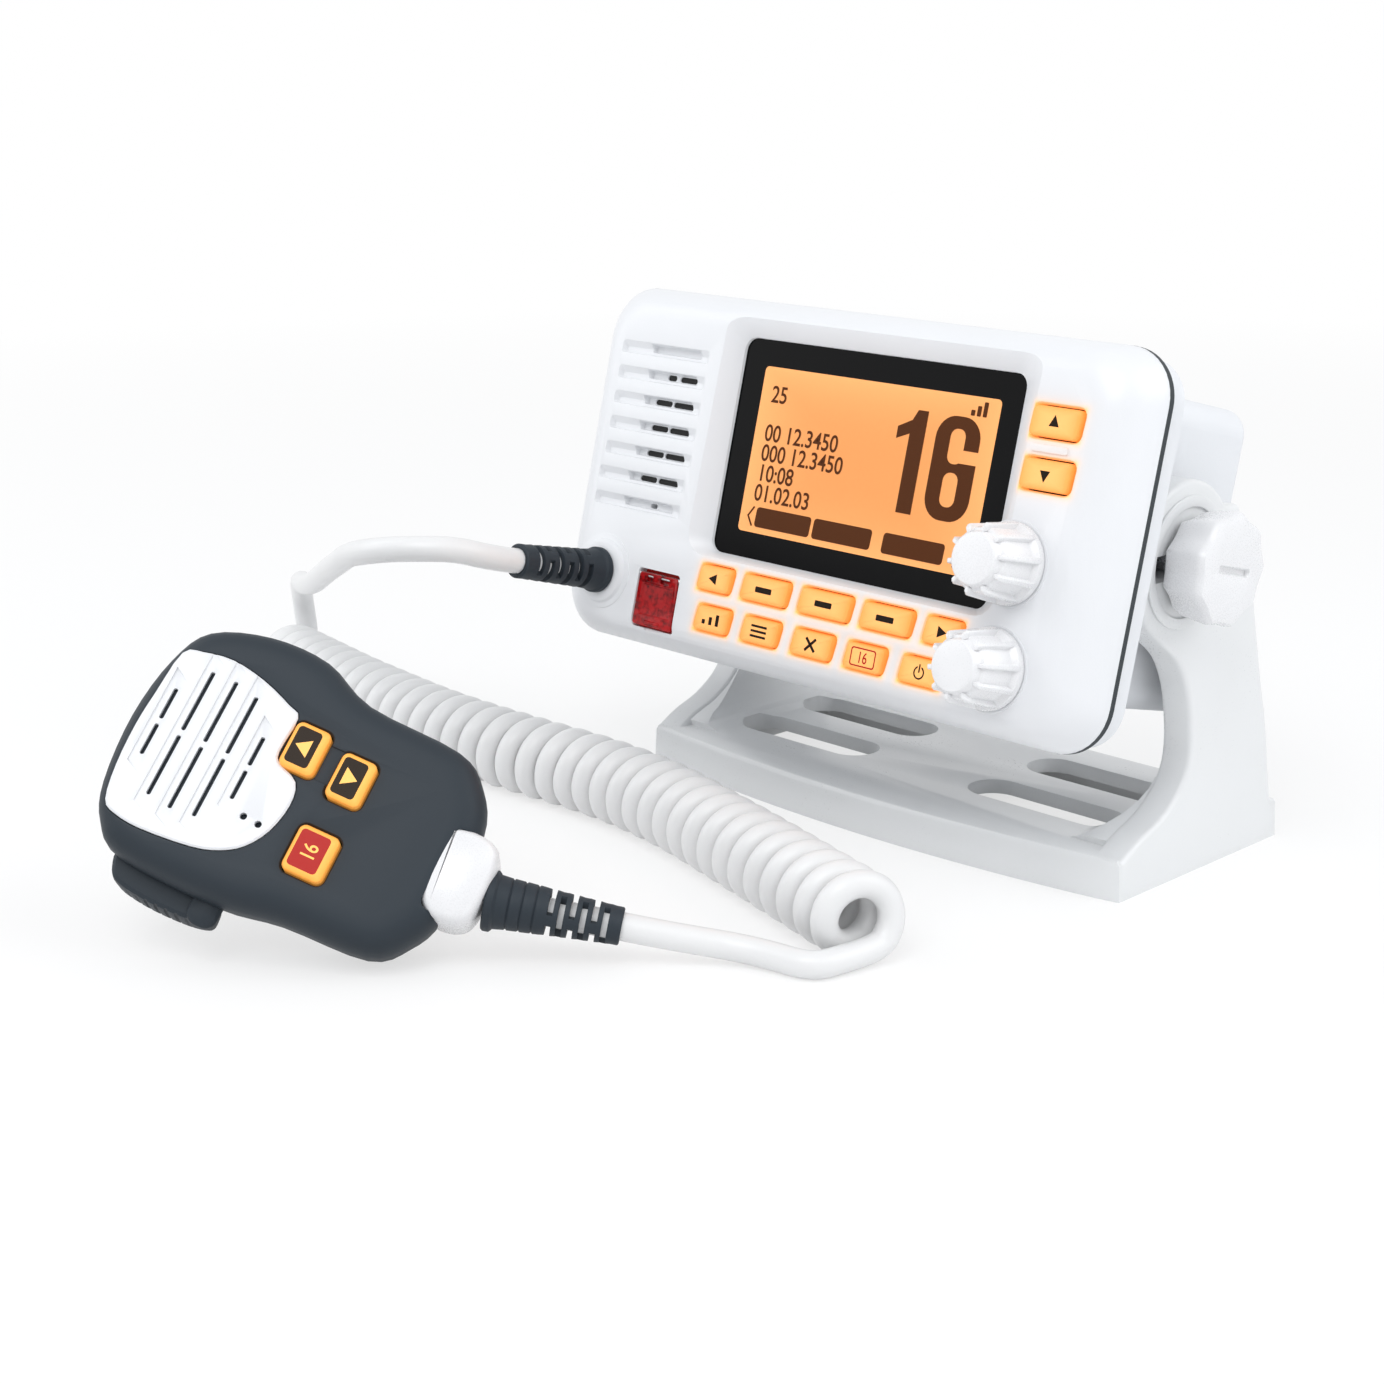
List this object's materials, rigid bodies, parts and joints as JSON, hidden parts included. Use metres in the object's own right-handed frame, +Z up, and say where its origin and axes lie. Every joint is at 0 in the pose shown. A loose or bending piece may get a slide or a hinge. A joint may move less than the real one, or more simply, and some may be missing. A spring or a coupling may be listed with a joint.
{
  "type": "fixed-mount marine radio",
  "caption": "Fixed-mount marine VHF radio in a white casing on a tilting gimbal bracket, with rotary knobs, backlit keys and a hand microphone on a curly cord.",
  "frame": {"origin": "centre of the base's four screw slots, on the mounting surface", "axes": "+Z up from the mounting surface, the panel faces -Y, +X towards the rotary knobs"},
  "size_m": [0.3192, 0.2747, 0.1381],
  "materials": {
    "bracket_white": "fine moulded texture",
    "case_white": "powder coat",
    "bezel_white": "satin moulding",
    "knob_white": "satin moulding",
    "cord_white": "smooth flexible jacket",
    "dark_rubber": "soft-touch",
    "seal_black": "smooth",
    "lens_clear": "clear window",
    "display_amber": "lit display",
    "key_amber": "backlit silicone",
    "red_clear": "red tinted",
    "plate_white": "satin moulding",
    "steel": "stainless",
    "brass": "turned",
    "aluminium": "extruded, coated",
    "nickel": "plated",
    "board_green": "solder mask",
    "black_plastic": "moulded",
    "paper_black": "cone and basket"
  },
  "bodies": {
    "bracket": {"bracket": "bracket_white", "pivot_pads": "seal_black", "coil_cord": "cord_white", "radio_lead": "cord_white", "mic_lead": "cord_white"},
    "radio": {"front_bezel": "bezel_white", "bezel_gasket": "seal_black", "rear_case": "case_white", "side_inserts": "brass", "display_lens": "lens_clear", "display_module": "display_amber", "key_mat": "seal_black", "front_board": "board_green", "main_board": "board_green", "front_speaker": "paper_black", "channel_encoder": "black_plastic", "volume_encoder": "black_plastic", "distress_pin": "steel", "heat_sink": "aluminium", "antenna_socket": "nickel", "power_inlet": "dark_rubber", "case_screws": "steel", "radio_strain_relief": "dark_rubber"},
    "channel_knob": {"channel_knob": "knob_white"},
    "volume_knob": {"volume_knob": "knob_white"},
    "distress_cover": {"distress_cover": "red_clear"},
    "distress_button": {"distress_button": "red_clear"},
    "clamp_washer_left": {"clamp_washer_left": "steel"},
    "clamp_washer_right": {"clamp_washer_right": "steel"},
    "clamp_left": {"clamp_knob_left": "knob_white", "clamp_stud_left": "steel"},
    "clamp_right": {"clamp_knob_right": "knob_white", "clamp_stud_right": "steel"},
    "microphone": {"mic_front_shell": "dark_rubber", "mic_rear_shell": "dark_rubber", "mic_face_plate": "plate_white", "mic_speaker": "paper_black", "mic_board": "board_green", "mic_element": "aluminium", "ptt_pin": "steel", "mic_collar": "plate_white", "mic_strain_relief": "dark_rubber", "mic_hanger_stud": "black_plastic", "mic_screws": "steel"},
    "ptt_lever": {"ptt_lever": "dark_rubber"},
    "mic_key_up": {"mic_key_up": "key_amber"},
    "mic_key_down": {"mic_key_down": "key_amber"},
    "mic_key_call": {"mic_key_call": "red_clear"},
    "key_left": {"key_left": "key_amber"},
    "key_soft_one": {"key_soft_one": "key_amber"},
    "key_soft_two": {"key_soft_two": "key_amber"},
    "key_soft_three": {"key_soft_three": "key_amber"},
    "key_right": {"key_right": "key_amber"},
    "key_output": {"key_output": "key_amber"},
    "key_menu": {"key_menu": "key_amber"},
    "key_clear": {"key_clear": "key_amber"},
    "key_calling": {"key_calling": "key_amber"},
    "key_power": {"key_power": "key_amber"},
    "key_up": {"key_up": "key_amber"},
    "key_down": {"key_down": "key_amber"}
  },
  "joints": [
    {"name": "radio_tilt", "type": "hinge", "parent": "bracket", "child": "radio", "pos_m": [0, -0.0153, 0.0831], "axis": [-1, 0, 0], "range_deg": [-29, 31], "deforming": ["radio_lead"]},
    {"name": "channel_turn", "type": "hinge", "parent": "radio", "child": "channel_knob", "pos_m": [0.067, -0.06548, 0.08859], "axis": [0, -0.9699, 0.2436], "continuous": true},
    {"name": "volume_turn", "type": "hinge", "parent": "radio", "child": "volume_knob", "pos_m": [0.067, -0.07159, 0.06424], "axis": [0, -0.9699, 0.2436], "range_deg": [-150, 150]},
    {"name": "key_left_press", "type": "slide", "parent": "radio", "child": "key_left", "axis": [0, 0.9699, -0.2436], "range_m": [0, 0.0008], "stiffness_N_per_m": 600, "springref_m": -0.0008},
    {"name": "key_soft_one_press", "type": "slide", "parent": "radio", "child": "key_soft_one", "axis": [0, 0.9699, -0.2436], "range_m": [0, 0.0008], "stiffness_N_per_m": 600, "springref_m": -0.0008},
    {"name": "key_soft_two_press", "type": "slide", "parent": "radio", "child": "key_soft_two", "axis": [0, 0.9699, -0.2436], "range_m": [0, 0.0008], "stiffness_N_per_m": 600, "springref_m": -0.0008},
    {"name": "key_soft_three_press", "type": "slide", "parent": "radio", "child": "key_soft_three", "axis": [0, 0.9699, -0.2436], "range_m": [0, 0.0008], "stiffness_N_per_m": 600, "springref_m": -0.0008},
    {"name": "key_right_press", "type": "slide", "parent": "radio", "child": "key_right", "axis": [0, 0.9699, -0.2436], "range_m": [0, 0.0008], "stiffness_N_per_m": 600, "springref_m": -0.0008},
    {"name": "key_output_press", "type": "slide", "parent": "radio", "child": "key_output", "axis": [0, 0.9699, -0.2436], "range_m": [0, 0.0008], "stiffness_N_per_m": 600, "springref_m": -0.0008},
    {"name": "key_menu_press", "type": "slide", "parent": "radio", "child": "key_menu", "axis": [0, 0.9699, -0.2436], "range_m": [0, 0.0008], "stiffness_N_per_m": 600, "springref_m": -0.0008},
    {"name": "key_clear_press", "type": "slide", "parent": "radio", "child": "key_clear", "axis": [0, 0.9699, -0.2436], "range_m": [0, 0.0008], "stiffness_N_per_m": 600, "springref_m": -0.0008},
    {"name": "key_calling_press", "type": "slide", "parent": "radio", "child": "key_calling", "axis": [0, 0.9699, -0.2436], "range_m": [0, 0.0008], "stiffness_N_per_m": 600, "springref_m": -0.0008},
    {"name": "key_power_press", "type": "slide", "parent": "radio", "child": "key_power", "axis": [0, 0.9699, -0.2436], "range_m": [0, 0.0008], "stiffness_N_per_m": 600, "springref_m": -0.0008},
    {"name": "key_up_press", "type": "slide", "parent": "radio", "child": "key_up", "axis": [0, 0.9699, -0.2436], "range_m": [0, 0.0008], "stiffness_N_per_m": 600, "springref_m": -0.0008},
    {"name": "key_down_press", "type": "slide", "parent": "radio", "child": "key_down", "axis": [0, 0.9699, -0.2436], "range_m": [0, 0.0008], "stiffness_N_per_m": 600, "springref_m": -0.0008},
    {"name": "distress_lid", "type": "hinge", "parent": "radio", "child": "distress_cover", "pos_m": [-0.0454, -0.06933, 0.06667], "axis": [-1, 0, 0], "range_deg": [0, 100], "stiffness_Nm_per_rad": 0.003, "springref_deg": -17.19},
    {"name": "distress_press", "type": "slide", "parent": "radio", "child": "distress_button", "axis": [0, 0.9699, -0.2436], "range_m": [0, 0.0015], "stiffness_N_per_m": 500, "springref_m": -0.001},
    {"name": "clamp_left_out", "type": "slide", "parent": "radio", "child": "clamp_washer_left", "axis": [-1, 0, 0], "range_m": [0, 0.002]},
    {"name": "clamp_left_turn", "type": "hinge", "parent": "clamp_washer_left", "child": "clamp_left", "pos_m": [0, -0.0153, 0.0831], "axis": [-1, 0, 0], "range_deg": [0, 724]},
    {"name": "clamp_right_out", "type": "slide", "parent": "radio", "child": "clamp_washer_right", "axis": [1, 0, 0], "range_m": [0, 0.002]},
    {"name": "clamp_right_turn", "type": "hinge", "parent": "clamp_washer_right", "child": "clamp_right", "pos_m": [0, -0.0153, 0.0831], "axis": [1, 0, 0], "range_deg": [0, 724]},
    {"name": "microphone_lift", "type": "slide", "parent": "bracket", "child": "microphone", "axis": [0, 0, 1], "range_m": [0, 0.15], "deforming": ["mic_lead"]},
    {"name": "ptt_squeeze", "type": "hinge", "parent": "microphone", "child": "ptt_lever", "pos_m": [-0.04702, -0.21544, 0.00934], "axis": [-0.6232, 0.5522, -0.5538], "range_deg": [0, 4], "stiffness_Nm_per_rad": 0.6, "springref_deg": -2.86},
    {"name": "mic_key_up_press", "type": "slide", "parent": "microphone", "child": "mic_key_up", "axis": [-0.6232, 0.5522, -0.5538], "range_m": [0, 0.0006], "stiffness_N_per_m": 600, "springref_m": -0.0008},
    {"name": "mic_key_down_press", "type": "slide", "parent": "microphone", "child": "mic_key_down", "axis": [-0.6232, 0.5522, -0.5538], "range_m": [0, 0.0006], "stiffness_N_per_m": 600, "springref_m": -0.0008},
    {"name": "mic_key_call_press", "type": "slide", "parent": "microphone", "child": "mic_key_call", "axis": [-0.6232, 0.5522, -0.5538], "range_m": [0, 0.0006], "stiffness_N_per_m": 600, "springref_m": -0.0008}
  ],
  "couplings": [
    {"joint": "clamp_left_turn", "follows": "clamp_left_out", "rad_per_m": 6283.2},
    {"joint": "clamp_right_turn", "follows": "clamp_right_out", "rad_per_m": 6283.2}
  ]
}
